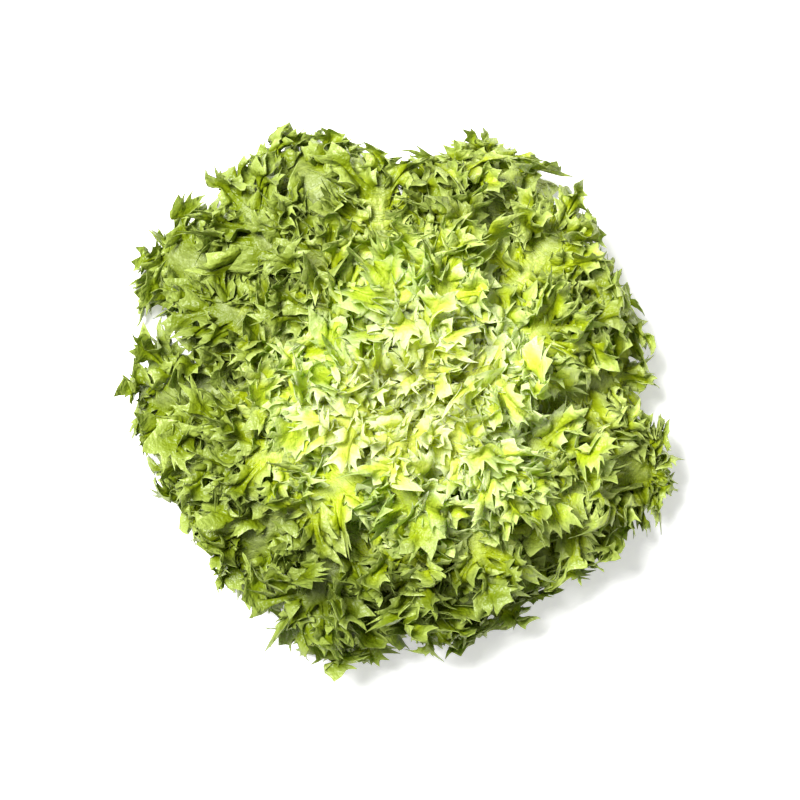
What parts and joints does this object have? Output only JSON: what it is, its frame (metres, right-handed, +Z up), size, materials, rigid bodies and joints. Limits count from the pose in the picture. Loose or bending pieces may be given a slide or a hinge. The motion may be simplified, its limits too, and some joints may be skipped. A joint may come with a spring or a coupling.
{
  "type": "curly endive head",
  "caption": "Whole head of curly endive: a domed rosette of frilled, deep-cut salad leaves spiralling from a short crown with a flat cut face.",
  "frame": {"origin": "centre of the crown's flat cut face, which rests on the surface", "axes": "+Z up along the crown's axis towards the heart; the oldest leaf's rib points 155 degrees anticlockwise from +X"},
  "size_m": [0.3149, 0.3193, 0.1178],
  "materials": {
    "crown_flesh": "cream-white cut stem flesh, matte, browned at the cut",
    "outer_leaf": "satin mid-green leaf with a pale rib, slightly translucent",
    "middle_leaf": "satin yellow-green leaf with a whitish rib, slightly translucent",
    "heart_leaf": "satin pale yellow blanched leaf, translucent"
  },
  "bodies": {
    "root": {"crown": "crown_flesh", "outer_leaf_01": "outer_leaf", "outer_leaf_02": "outer_leaf", "outer_leaf_03": "outer_leaf", "outer_leaf_04": "outer_leaf", "outer_leaf_05": "outer_leaf", "outer_leaf_06": "outer_leaf", "outer_leaf_07": "outer_leaf", "outer_leaf_08": "outer_leaf", "outer_leaf_09": "outer_leaf", "outer_leaf_10": "outer_leaf", "outer_leaf_11": "outer_leaf", "outer_leaf_12": "outer_leaf", "outer_leaf_13": "outer_leaf", "outer_leaf_14": "outer_leaf", "outer_leaf_15": "outer_leaf", "outer_leaf_16": "outer_leaf", "outer_leaf_17": "outer_leaf", "outer_leaf_18": "outer_leaf", "outer_leaf_19": "outer_leaf", "middle_leaf_20": "middle_leaf", "middle_leaf_21": "middle_leaf", "middle_leaf_22": "middle_leaf", "middle_leaf_23": "middle_leaf", "middle_leaf_24": "middle_leaf", "middle_leaf_25": "middle_leaf", "middle_leaf_26": "middle_leaf", "middle_leaf_27": "middle_leaf", "middle_leaf_28": "middle_leaf", "middle_leaf_29": "middle_leaf", "middle_leaf_30": "middle_leaf", "middle_leaf_31": "middle_leaf", "middle_leaf_32": "middle_leaf", "middle_leaf_33": "middle_leaf", "middle_leaf_34": "middle_leaf", "middle_leaf_35": "middle_leaf", "middle_leaf_36": "middle_leaf", "middle_leaf_37": "middle_leaf", "middle_leaf_38": "middle_leaf", "middle_leaf_39": "middle_leaf", "heart_leaf_40": "heart_leaf", "heart_leaf_41": "heart_leaf", "heart_leaf_42": "heart_leaf", "heart_leaf_43": "heart_leaf", "heart_leaf_44": "heart_leaf", "heart_leaf_45": "heart_leaf", "heart_leaf_46": "heart_leaf", "heart_leaf_47": "heart_leaf", "heart_leaf_48": "heart_leaf", "heart_leaf_49": "heart_leaf", "heart_leaf_50": "heart_leaf", "heart_leaf_51": "heart_leaf", "heart_leaf_52": "heart_leaf"}
  },
  "joints": []
}
